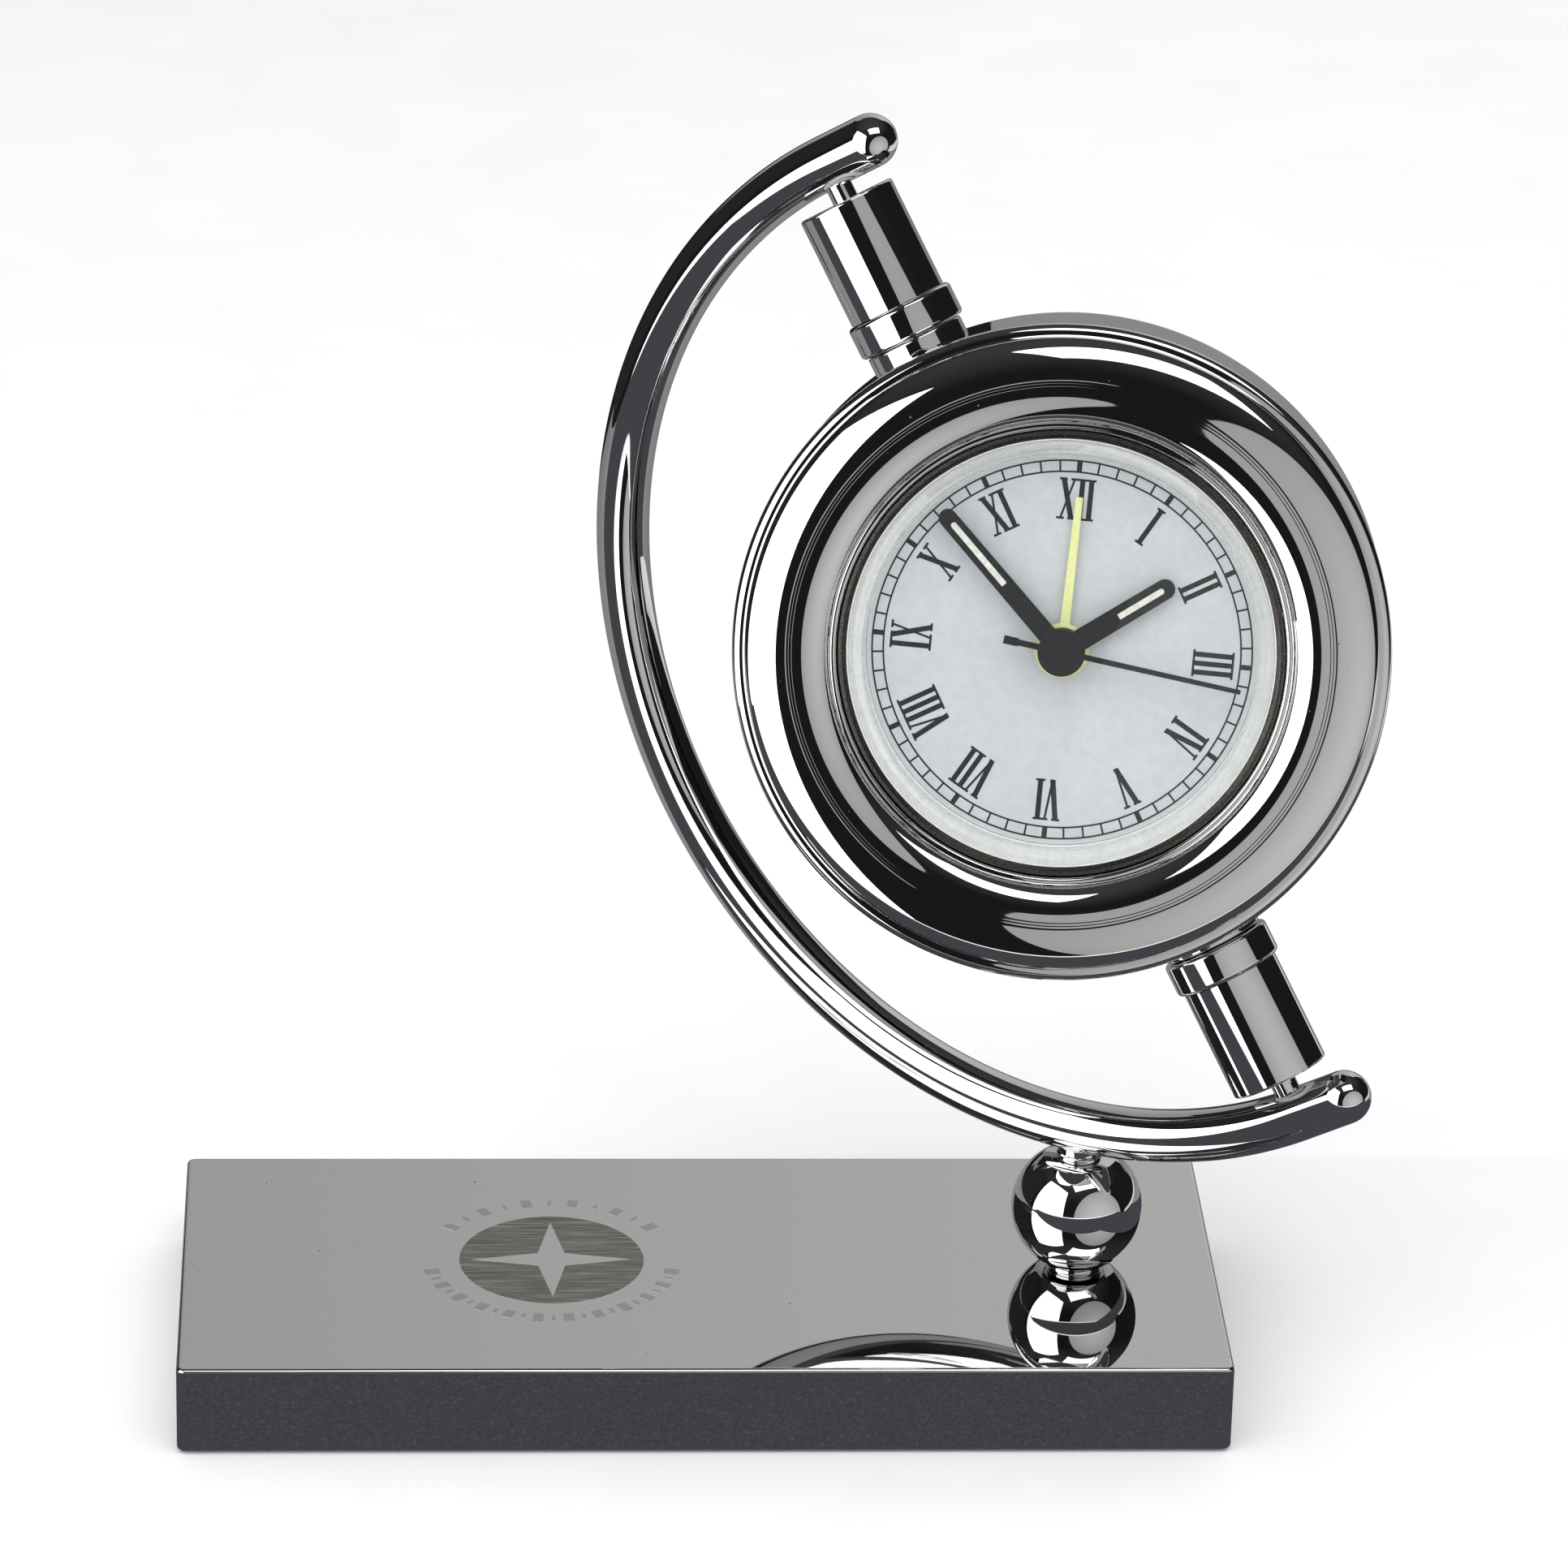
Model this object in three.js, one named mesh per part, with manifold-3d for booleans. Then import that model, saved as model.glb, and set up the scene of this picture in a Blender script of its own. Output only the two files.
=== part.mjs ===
// Analogue quartz alarm desk clock: a round clock head that turns on two pins in a C-shaped arm,
// which stands on a ball at one end of a flat rectangular base. Millimetres, +Z up, front = -Y.
// The origin is the centre of the base's underside.
import * as THREE from "three";
import { mergeVertices } from "three/addons/utils/BufferGeometryUtils.js";
import Module from "manifold-3d";

const wasm = await Module();
wasm.setup();

// ---------- driving dimensions ----------
const deg = Math.PI / 180;
const sides = { wide: 40, middle: 24, small: 16, fine: 10 }; // facets round a circle, by its size

const base = { width: 130, depth: 57, height: 11.7, cornerRadius: 0.6, edge: 0.6, standOff: 0.3 };
const pad = { inset: 1.6, thickness: 1.2 };
const ball = { x: 47.4, radius: 8.27, seatDrop: 7.8, topFlat: 7.0 };
const clampBore = 1.8;

const arm = {
  turn: 35.6 * deg, // about the ball's vertical axis, right end towards the front
  lean: 33.7 * deg, // swivel axis from the vertical, top to the left
  radius: 65.07,
  rod: 3.36,
  overrun: 7.35, // straight run past each pin
  shift: -5.28, // arm's centre from the ball's axis, along the arm's plane
  centreHeight: 95.65,
};
const headTurn = 33.8 * deg; // the head about its swivel axis
const dialTurn = -31.8 * deg; // the dial about its own centre, so that XII stands upright

const pin = { radius: 1.62, inner: 55.5, depth: 1.6 };
const post = {
  seat: { from: 36, to: 41.3, radius: 6.2 },
  collar: { from: 41.4, to: 45.6, radius: 6.8 },
  sleeve: { from: 45.7, to: 59.9, radius: 6.15 },
  bore: 2.3,
  bushLength: 5.2,
  bushRadius: 3.2,
};
const drum = { radius: 39.5, wall: 2.8, back: -11, front: 16 };
const bezel = {
  rim: 39.6,
  step: 38.2,
  crown: 32.4,
  mouth: 27.6,
  mouthTop: 18.6,
  spigot: 13.4,
  underside: 15.2,
  seat: 16.1,
  edge: 18,
  top: 20.7,
};
const insertForward = 8; // the clock insert stands this far forward of the swivel axis
const cover = { thickness: 1.8, opening: 25.6 };

const insert = { flange: 26.6, body: 24.5, wall: 1.2, back: -11.5, front: 3.6 };
const lens = { window: 23.9, wall: 25.2, base: 4.5, shoulder: 8.8, top: 10.2 };
const dial = { radius: 23.6, face: 4.2, thickness: 0.5 };

// One row for each hand: hub outside and inside radius, height above the face, tip and tail length
const hands = {
  alarm: { hub: 3.3, bore: 2.8, z: 4.9, tip: 18.6, width: 0.55, angle: 1.1 },
  hour: { hub: 2.6, bore: 2.0, z: 5.6, tip: 15.7, width: 2.2, angle: 53.5 },
  minute: { hub: 2.2, bore: 1.3, z: 6.3, tip: 22.2, width: 1.9, angle: -45.8 },
  second: { hub: 1.7, bore: 0.55, z: 7.0, tip: 22.0, width: 0.6, angle: 97.2, tail: 7.1 },
};
const handThickness = 0.28;

// Going train: wheels turn about the dial's centre or about arbors this far from it
const train = {
  thirdAt: polar(6.6, 0),
  intermediateAt: polar(6.6, -60),
  timeArborAt: polar(6.0, 90),
  alarmArborAt: polar(6.0, 200),
};
const toothModule = 0.4;
const rotorAt = train.intermediateAt.clone().add(polar(5.1, -20));
const battery = { at: new THREE.Vector2(-10.8, -11), radius: 5.8, from: -10.0, to: -4.6 };
const buzzer = { at: new THREE.Vector2(-10.5, 10.2), radius: 7.6, from: -10.1, to: -7.6 };
const alarmSwitch = { at: new THREE.Vector2(2.5, -16.4), slot: [7.4, 3.0], knob: [3.0, 2.4] };
const doorRadius = 6.5;
const knob = { radius: 3.2, from: -15.0, to: -11.9 };

// ---------- materials ----------
const finish = (color, roughness, metalness) =>
  new THREE.MeshStandardMaterial({ color, roughness, metalness });
const chrome = () => finish(0xd9d9db, 0.06, 1);
const steel = () => finish(0xa8a9ad, 0.3, 1);
const brass = () => finish(0xc8a860, 0.3, 1);
const copper = () => finish(0xb06a3c, 0.4, 1);
const blackPlastic = () => finish(0x17171a, 0.45, 0);
const whitePlastic = () => finish(0xe9e8e4, 0.4, 0);
const felt = () => finish(0x151515, 0.95, 0);
const clear = () => finish(0xeef4f6, 0.05, 0);

// ---------- shape helpers ----------
function polar(radius, degrees) {
  return new THREE.Vector2(radius * Math.cos(degrees * deg), radius * Math.sin(degrees * deg));
}

// A closed geometry as a manifold-3d solid with its faces outwards.
function solid(geometry) {
  const bare = geometry.clone();
  bare.deleteAttribute("normal");
  bare.deleteAttribute("uv");
  const merged = mergeVertices(bare, 1e-4);
  const triVerts = new Uint32Array(merged.index.array);
  const vertProperties = new Float32Array(merged.attributes.position.array);
  const build = () => new wasm.Manifold(new wasm.Mesh({ numProp: 3, vertProperties, triVerts }));
  const made = build();
  if (made.volume() > 0) return made;
  for (let i = 0; i < triVerts.length; i += 3)
    [triVerts[i + 1], triVerts[i + 2]] = [triVerts[i + 2], triVerts[i + 1]];
  return build();
}

function geometryOf(shape) {
  const mesh = shape.getMesh();
  const vertices = new Float32Array(mesh.numVert * 3);
  for (let i = 0; i < mesh.numVert; i++)
    vertices.set(mesh.vertProperties.subarray(i * mesh.numProp, i * mesh.numProp + 3), i * 3);
  return new THREE.BufferGeometry()
    .setAttribute("position", new THREE.BufferAttribute(vertices, 3))
    .setIndex(new THREE.BufferAttribute(mesh.triVerts, 1));
}

// A profile of [radius, height] points turned about the Z axis; it closes on itself.
function turned(profile, segments = sides.middle) {
  const points = [...profile, profile[0]].map(([r, z]) => new THREE.Vector2(r, z));
  return solid(new THREE.LatheGeometry(points, segments).rotateX(90 * deg));
}

const rod = (radius, from, to, segments = sides.small) =>
  turned([[0, from], [radius, from], [radius, to], [0, to]], segments);

const ring = (outside, inside, from, to, segments = sides.middle) =>
  turned([[inside, from], [outside, from], [outside, to], [inside, to]], segments);

function block(sizeX, sizeY, from, to) {
  return solid(new THREE.BoxGeometry(sizeX, sizeY, to - from).translate(0, 0, (from + to) / 2));
}

// A flat outline from one height to another.
function plate(shape, from, to) {
  const geometry = new THREE.ExtrudeGeometry(shape, {
    depth: to - from,
    bevelEnabled: false,
    curveSegments: 8,
  });
  return solid(geometry.translate(0, 0, from));
}

const shifted = (shape, at, z = 0) => shape.translate([at.x, at.y, z]);

function named(name, shape, material, parent, place) {
  const mesh = new THREE.Mesh(geometryOf(shape), material);
  mesh.name = name;
  if (place) mesh.position.set(place.x, place.y, place.z ?? 0);
  parent.add(mesh);
  return mesh;
}

function roundedRectangle(width, depth, radius) {
  const x = width / 2;
  const y = depth / 2;
  const shape = new THREE.Shape();
  shape.moveTo(-x + radius, -y);
  shape.lineTo(x - radius, -y);
  shape.absarc(x - radius, -y + radius, radius, -90 * deg, 0, false);
  shape.lineTo(x, y - radius);
  shape.absarc(x - radius, y - radius, radius, 0, 90 * deg, false);
  shape.lineTo(-x + radius, y);
  shape.absarc(-x + radius, y - radius, radius, 90 * deg, 180 * deg, false);
  shape.lineTo(-x, -y + radius);
  shape.absarc(-x + radius, -y + radius, radius, 180 * deg, 270 * deg, false);
  return shape;
}

// A wheel or pinion: short trapezoid teeth, with a round hole for its arbor.
function gear(radius, from, to, bore) {
  const teeth = Math.round((2 * radius) / toothModule);
  const root = radius - Math.min(0.55, radius * 0.22);
  const shape = new THREE.Shape();
  for (let i = 0; i < teeth; i++) {
    const pitch = 360 / teeth;
    [[root, 0.06], [root, 0.36], [radius, 0.48], [radius, 0.94]].forEach(([r, share], step) => {
      const point = polar(r, (i + share) * pitch);
      if (i + step === 0) shape.moveTo(point.x, point.y);
      else shape.lineTo(point.x, point.y);
    });
  }
  const wheel = plate(shape, from, to);
  return bore ? wheel.subtract(rod(bore, from - 1, to + 1)) : wheel;
}

// ---------- base ----------
const clock = new THREE.Group();
const ballCentre = base.height + ball.seatDrop;
const ballAt = new THREE.Vector2(ball.x, 0);
const screwHead = { radius: 3.0, from: 2.4, to: 4.8 };

function baseBlock() {
  const body = new THREE.ExtrudeGeometry(
    roundedRectangle(base.width - 2 * base.edge, base.depth - 2 * base.edge, base.cornerRadius),
    {
      depth: base.height - base.standOff - 2 * base.edge,
      bevelThickness: base.edge,
      bevelSize: base.edge,
      bevelSegments: 3,
      curveSegments: 5,
    },
  ).translate(0, 0, base.standOff + base.edge);
  const padRecess = block(base.width - 2 * pad.inset + 0.6, base.depth - 2 * pad.inset + 0.6, -1, 1.5);
  const counterbore = shifted(rod(4.2, -1, 5.4), ballAt);
  const screwBore = shifted(rod(clampBore, -1, base.height + 1), ballAt);
  return solid(body).subtract(padRecess).subtract(counterbore).subtract(screwBore);
}

function basePad() {
  const sheet = plate(
    roundedRectangle(base.width - 2 * pad.inset, base.depth - 2 * pad.inset, base.cornerRadius),
    0,
    pad.thickness,
  );
  return sheet.subtract(shifted(rod(4.2, -1, 3), ballAt));
}

// Ball: an arc from the flat that sits on the base to the flat under the arm's collar
function ballShape() {
  const profile = [[clampBore, -ball.seatDrop + 0.05]];
  const start = Math.asin((-ball.seatDrop + 0.05) / ball.radius);
  const end = Math.asin(ball.topFlat / ball.radius);
  const steps = 8;
  for (let i = 0; i <= steps; i++) {
    const angle = start + ((end - start) * i) / steps;
    profile.push([ball.radius * Math.cos(angle), ball.radius * Math.sin(angle)]);
  }
  profile.push([clampBore, ball.topFlat]);
  return turned(profile);
}

named("base_block", baseBlock(), chrome(), clock);
named("base_pad", basePad(), felt(), clock);
named("ball", ballShape(), chrome(), clock, { x: ball.x, y: 0, z: ballCentre });

// ---------- arm ----------
// The arm's own frame: origin at its centre, X in its plane towards the right end, Z along the pins.
const planeGroup = new THREE.Group();
planeGroup.rotation.z = -arm.turn;
planeGroup.position.set(
  ball.x + arm.shift * Math.cos(arm.turn),
  -arm.shift * Math.sin(arm.turn),
  arm.centreHeight,
);
clock.add(planeGroup);
const leanGroup = new THREE.Group();
leanGroup.rotation.y = -arm.lean;
planeGroup.add(leanGroup);

class ArmCurve extends THREE.Curve {
  getPoint(t, target = new THREE.Vector3()) {
    const bend = Math.PI * arm.radius;
    const along = t * (bend + 2 * arm.overrun);
    if (along < arm.overrun) return target.set(arm.overrun - along, 0, arm.radius);
    if (along > arm.overrun + bend) return target.set(along - arm.overrun - bend, 0, -arm.radius);
    const angle = (along - arm.overrun) / arm.radius;
    return target.set(-arm.radius * Math.sin(angle), 0, arm.radius * Math.cos(angle));
  }
}

function armRod() {
  const section = new THREE.Shape().absarc(0, 0, arm.rod, 0, 2 * Math.PI, false);
  let shape = solid(
    new THREE.ExtrudeGeometry(section, { steps: 52, curveSegments: 6, extrudePath: new ArmCurve() }),
  );
  for (const side of [1, -1]) {
    const end = new THREE.SphereGeometry(arm.rod, 12, 8).rotateZ(90 * deg);
    shape = shape.add(solid(end.translate(arm.overrun, 0, side * arm.radius)));
    const bore = rod(pin.radius + 0.3, 0, 8, sides.fine);
    shape = shape.subtract(
      side > 0
        ? bore.translate([0, 0, arm.radius + pin.depth - 8 + 0.3])
        : bore.translate([0, 0, -arm.radius - pin.depth - 0.3]),
    );
  }
  return shape;
}

// The ball's axis, seen from the arm's frame: the boss and the clamp screw stand on it.
function toArmFrame(shape) {
  const place = new THREE.Matrix4()
    .makeRotationY(arm.lean)
    .multiply(new THREE.Matrix4().makeTranslation(-arm.shift, 0, ballCentre - arm.centreHeight));
  return shape.transform(place.elements);
}

const collar = { from: ball.topFlat + 0.1, to: 8.7, radius: 2.7 };
const screwTop = 11.0;
const armSolid = armRod()
  .subtract(toArmFrame(rod(collar.radius + 0.2, 0, collar.to + 0.3)))
  .subtract(toArmFrame(rod(1.8, 0, screwTop + 0.4, sides.fine)));
named("c_arm", armSolid, chrome(), leanGroup);
const collarShape = ring(collar.radius, clampBore, collar.from, collar.to, sides.small);
named("arm_collar", collarShape, chrome(), clock, { x: ball.x, y: 0, z: ballCentre });

const screwShape = rod(1.5, screwHead.to - 0.4, ballCentre + screwTop, sides.fine)
  .add(rod(screwHead.radius, screwHead.from, screwHead.to))
  .subtract(block(4.4, 0.9, screwHead.from - 1, screwHead.from + 1.0))
  .subtract(block(0.9, 4.4, screwHead.from - 1, screwHead.from + 1.0));
named("clamp_screw", screwShape, steel(), clock, ballAt);
named("spring_washer", ring(3.4, 1.7, screwHead.to + 0.05, 5.3, sides.small), steel(), clock, ballAt);

for (const [name, side] of [["upper_pivot_pin", 1], ["lower_pivot_pin", -1]]) {
  const from = side > 0 ? pin.inner : -arm.radius - pin.depth;
  const to = side > 0 ? arm.radius + pin.depth : -pin.inner;
  named(name, rod(pin.radius, from, to), chrome(), leanGroup);
}

// ---------- head: drum, bezel, cover and posts ----------
const headGroup = new THREE.Group();
headGroup.rotation.z = headTurn;
leanGroup.add(headGroup);
// The face's frame: Z out of the dial, Y along the swivel axis
const face = new THREE.Group();
face.rotation.x = 90 * deg;
headGroup.add(face);

function alongPost(shape, side) {
  return shape.rotate([side > 0 ? -90 : 90, 0, 0]);
}

let drumSolid = ring(drum.radius, drum.radius - drum.wall, drum.back, drum.front, sides.wide);
for (const side of [1, -1]) {
  const bore = rod(clampBore + 0.5, 30, 45, sides.fine);
  drumSolid = drumSolid.subtract(alongPost(bore, side));
}
named("case_drum", drumSolid, chrome(), face);

// Bezel: stepped rim, then a low cushion that crowns at the turned rings and falls to the mouth
function bezelShape() {
  const { rim, step, crown, mouth, mouthTop, spigot, underside, seat, edge, top } = bezel;
  const profile = [[mouth, underside], [35.0, underside], [35.0, spigot], [36.4, spigot], [36.4, seat]];
  profile.push([rim, seat]);
  const round = 1.1;
  for (let i = 0; i <= 2; i++) {
    const a = (i / 2) * 90 * deg;
    profile.push([rim - round + round * Math.cos(a), edge - round + round * Math.sin(a)]);
  }
  profile.push([step, edge], [step - 0.15, edge + 0.35]);
  const outerFall = top - (edge + 0.35);
  for (let i = 1; i <= 4; i++) {
    const a = (i / 4) * 90 * deg;
    profile.push([crown + (step - 0.15 - crown) * Math.cos(a), edge + 0.35 + outerFall * Math.sin(a)]);
  }
  for (let i = 1; i <= 3; i++) {
    const a = (1 - i / 3) * 90 * deg;
    profile.push([crown - (crown - mouth) * Math.cos(a), mouthTop + (top - mouthTop) * Math.sin(a)]);
  }
  return turned(profile, sides.wide);
}
named("front_bezel", bezelShape(), chrome(), face);

const coverBack = drum.back - 0.1 - cover.thickness;
const coverProfile = [
  [cover.opening, coverBack + 0.4],
  [cover.opening + 0.4, coverBack],
  [drum.radius - 1.2, coverBack],
  [drum.radius, coverBack + 1.2],
  [drum.radius, drum.back - 0.1],
  [36.4, drum.back - 0.1],
  [36.4, drum.back + 2],
  [34.8, drum.back + 2],
  [34.8, drum.back - 0.1],
  [cover.opening, drum.back - 0.1],
];
named("rear_cover", turned(coverProfile, sides.wide), chrome(), face);

for (const [end, side] of [["upper", 1], ["lower", -1]]) {
  const { seat, collar: band, sleeve } = post;
  const drumOuter = rod(drum.radius + 0.1, -20, 20, sides.wide);
  const seatShape = alongPost(ring(seat.radius, post.bore, seat.from, seat.to, sides.small), side);
  named(end + "_post_seat", seatShape.subtract(drumOuter), chrome(), face);
  const bandProfile = [
    [post.bore, band.from],
    [band.radius - 0.5, band.from],
    [band.radius, band.from + 0.5],
    [band.radius, band.to - 0.5],
    [band.radius - 0.5, band.to],
    [post.bore, band.to],
  ];
  named(end + "_post_collar", alongPost(turned(bandProfile), side), chrome(), face);
  const bushFrom = sleeve.to - post.bushLength;
  const sleeveProfile = [
    [post.bore, sleeve.from],
    [sleeve.radius, sleeve.from],
    [sleeve.radius, sleeve.to - 0.4],
    [sleeve.radius - 0.4, sleeve.to],
    [post.bushRadius, sleeve.to],
    [post.bushRadius, bushFrom],
    [post.bore, bushFrom],
  ];
  named(end + "_post_sleeve", alongPost(turned(sleeveProfile), side), chrome(), face);
  const bush = ring(post.bushRadius - 0.1, pin.radius + 0.15, bushFrom + 0.1, sleeve.to - 0.2, sides.small);
  named(end + "_bush", alongPost(bush, side), whitePlastic(), face);
  const screw = rod(1.9, 34, 52, sides.fine).add(rod(3.4, 33.8, 36.3));
  const slot = block(8, 0.9, 32, 34.7);
  named(end + "_post_screw", alongPost(screw.subtract(slot), side), steel(), face);
}

// ---------- clock insert, in the dial's frame ----------
const dialGroup = new THREE.Group();
dialGroup.rotation.z = dialTurn;
dialGroup.position.z = insertForward;
face.add(dialGroup);

const caseProfile = [
  [0, insert.back],
  [insert.body - 0.6, insert.back],
  [insert.body, insert.back + 0.6],
  [insert.body, 1.9],
  [insert.flange, 2.6],
  [insert.flange, insert.front],
  [insert.body - insert.wall, insert.front],
  [insert.body - insert.wall, insert.back + insert.wall],
  [0, insert.back + insert.wall],
];
function movementCase() {
  const [slotX, slotY] = alarmSwitch.slot;
  const through = [insert.back - 1, insert.back + insert.wall + 1];
  let shape = turned(caseProfile, sides.wide);
  shape = shape.subtract(shifted(rod(doorRadius + 0.2, ...through, sides.middle), battery.at));
  shape = shape.subtract(shifted(block(slotX, slotY, ...through), alarmSwitch.at));
  for (const at of [train.timeArborAt, train.alarmArborAt])
    shape = shape.subtract(shifted(rod(0.85, ...through, sides.fine), at));
  return shape;
}
named("movement_case", movementCase(), blackPlastic(), dialGroup);

const lensProfile = [
  [0, lens.shoulder],
  [lens.window - 0.4, lens.shoulder],
  [lens.window, lens.shoulder - 0.4],
  [lens.window, lens.base],
  [insert.flange, lens.base],
  [insert.flange, lens.base + 1.4],
  [lens.wall, lens.base + 1.4],
  [lens.wall, lens.top - 0.8],
  [lens.window + 0.3, lens.top],
  [0, lens.top],
];
named("lens", turned(lensProfile, sides.wide), clear(), dialGroup);
const gasketProfile = [
  [lens.wall + 0.2, lens.base + 1.7],
  [27.4, lens.base + 1.7],
  [27.4, lens.top - 0.3],
  [lens.wall + 0.2, lens.top - 0.9],
];
named("insert_gasket", turned(gasketProfile, sides.wide), blackPlastic(), dialGroup);

const pipes = {
  alarm: { outside: 2.7, inside: 2.2, from: 2.0, wheel: 4.6, thickness: 0.5 },
  hour: { outside: 1.9, inside: 1.5, from: 1.0, wheel: 4.5, thickness: 0.5 },
  minute: { outside: 1.2, inside: 0.8, from: -0.9, wheel: 5.1, thickness: 0.5 },
};

const dialSheet = ring(dial.radius, 3.0, dial.face - dial.thickness, dial.face, sides.wide);
named("dial", dialSheet, finish(0xf4f4f2, 0.5, 0), dialGroup);

// Plate under the dial that carries the front ends of the arbors
let trainPlate = ring(22.6, 3.0, 2.9, 3.5);
for (const at of [train.thirdAt, train.intermediateAt, train.timeArborAt, train.alarmArborAt])
  trainPlate = trainPlate.subtract(shifted(rod(0.55, 2, 5, sides.fine), at));
named("train_plate", trainPlate, brass(), dialGroup);

function hand(row) {
  const { hub, z, tip, width, tail } = row;
  const boss = rod(hub, z, z + handThickness);
  const blade = new THREE.Shape();
  const x = width / 2;
  blade.moveTo(-x, tail ? -tail : 0);
  blade.lineTo(x, tail ? -tail : 0);
  blade.lineTo(x, tip - x);
  blade.absarc(0, tip - x, x, 0, 180 * deg, false);
  const whole = boss.add(plate(blade, z, z + handThickness));
  const bored = whole.subtract(rod(row.bore, z - 1, z + 1));
  return bored.rotate([0, 0, -row.angle]);
}
named("alarm_hand", hand(hands.alarm), finish(0xd8df8a, 0.5, 0), dialGroup);
named("hour_hand", hand(hands.hour), blackPlastic(), dialGroup);
named("minute_hand", hand(hands.minute), blackPlastic(), dialGroup);
named("second_hand", hand(hands.second), blackPlastic(), dialGroup);
const capProfile = [[0, 7.45], [2.85, 7.45], [2.85, 8.15], [2.4, 8.5], [0, 8.55]];
named("hub_cap", turned(capProfile, sides.small), blackPlastic(), dialGroup);

// Wheels on pipes: each carries one hand
for (const [name, row] of Object.entries(pipes)) {
  const top = hands[name].z + handThickness;
  let shape = ring(row.outside, row.inside, row.from, top, sides.small);
  shape = shape.add(gear(row.wheel, row.from, row.from + row.thickness, row.inside));
  if (name === "minute") shape = shape.add(gear(1.7, -0.1, 0.8, row.inside));
  named(name + "_wheel", shape, brass(), dialGroup);
}
const secondsWheel = rod(0.45, -9.9, 7.3, sides.fine)
  .add(gear(5.0, -3.4, -2.9))
  .add(gear(1.3, -2.6, -1.5));
named("seconds_wheel", secondsWheel, brass(), dialGroup);
const thirdWheel = rod(0.45, -9.9, 3.3, sides.fine).add(gear(5.1, -2.3, -1.8)).add(gear(1.3, -1.2, -0.1));
named("third_wheel", thirdWheel, brass(), dialGroup, train.thirdAt);
const intermediateWheel = rod(0.45, -9.9, 3.3, sides.fine)
  .add(gear(1.3, -3.7, -2.7))
  .add(gear(4.0, -4.8, -4.3));
named("intermediate_wheel", intermediateWheel, whitePlastic(), dialGroup, train.intermediateAt);
const rotor = rod(0.4, -9.0, -3.2, sides.fine).add(gear(0.9, -5.0, -4.0)).add(rod(2.1, -7.6, -5.3));
named("rotor", rotor, steel(), dialGroup, rotorAt);

// The motion wheel and the time-setting knob share one arbor, as do the alarm pinion and its knob
const motionWheel = rod(0.5, -10.0, 3.3, sides.fine)
  .add(gear(4.1, 0.0, 0.5))
  .add(gear(1.3, 0.85, 1.7));
named("motion_wheel", motionWheel, brass(), dialGroup, train.timeArborAt);
const alarmPinion = rod(0.5, -10.0, 3.3, sides.fine).add(gear(1.2, 1.8, 2.6));
named("alarm_pinion", alarmPinion, brass(), dialGroup, train.alarmArborAt);
const knobShape = gear(knob.radius, knob.from, knob.to)
  .add(rod(0.65, knob.to - 0.5, -10.1, sides.fine))
  .add(rod(2.2, knob.to - 0.1, knob.to + 0.15));
named("time_set_knob", knobShape, blackPlastic(), dialGroup, train.timeArborAt);
named("alarm_set_knob", knobShape, blackPlastic(), dialGroup, train.alarmArborAt);

// Stepping motor: laminated stator round the rotor, with the coil on its far leg
const legX = 15.6;
let stator = shifted(block(legX + 1.6 - 4.6, 6.2, -6.8, -6.0), new THREE.Vector2((legX + 6.2) / 2, rotorAt.y));
stator = stator.subtract(shifted(rod(2.5, -8, -5), rotorAt));
stator = stator.add(shifted(block(1.6, 17.5, -6.8, -6.0), new THREE.Vector2(legX, rotorAt.y + 11.8)));
named("stator", stator, steel(), dialGroup);
const coil = ring(2.3, 1.15, -5.6, 5.6, sides.small).rotate([90, 0, 0]);
named("coil", coil, copper(), dialGroup, { x: legX, y: 3.4, z: -6.4 });

const boardShape = shifted(block(13.0, 20, -9.9, -9.2), new THREE.Vector2(12.6, 1.6));
named("circuit_board", boardShape.subtract(shifted(rod(0.9, -11, -8, sides.fine), train.thirdAt)),
  finish(0x2f6b3c, 0.6, 0), dialGroup);
named("timing_chip", rod(2.0, -9.1, -8.3), blackPlastic(), dialGroup, { x: 10.0, y: 8.6 });
named("crystal", rod(1.0, -3, 3, sides.fine).rotate([0, 90, 0]), steel(), dialGroup, { x: 10.4, y: 4.8, z: -7.9 });

named("battery", shifted(rod(battery.radius, battery.from, battery.to - 0.5, sides.middle)
  .add(rod(battery.radius - 0.9, battery.to - 1, battery.to, sides.middle)), battery.at), steel(), dialGroup);
const contactAt = battery.at;
const topContact = shifted(block(4.2, 12.6, -4.3, -4.0), contactAt);
named("top_contact", topContact, brass(), dialGroup);
const sideContact = shifted(block(0.35, 5, -9.6, -5.2),
  new THREE.Vector2(battery.at.x + battery.radius + 0.5, battery.at.y));
named("side_contact", sideContact, brass(), dialGroup);
const door = rod(doorRadius, insert.back, insert.back + 1.1, sides.middle)
  .subtract(block(9, 1.3, insert.back - 1, insert.back + 0.5));
named("battery_door", shifted(door, battery.at), blackPlastic(), dialGroup);
named("buzzer", shifted(ring(buzzer.radius, 0.9, buzzer.from, buzzer.to), buzzer.at),
  blackPlastic(), dialGroup);

const [knobX, knobY] = alarmSwitch.knob;
const slider = block(knobX, knobY, -12.7, -9.9).add(block(5.6, 4.4, -10.1, -9.3));
const sliderAt = { x: alarmSwitch.at.x - 1.8, y: alarmSwitch.at.y };
named("alarm_switch", slider, whitePlastic(), dialGroup, sliderAt);

export default clock;
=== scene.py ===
import math

import bmesh
import bpy
from mathutils import Matrix, Vector


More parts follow.
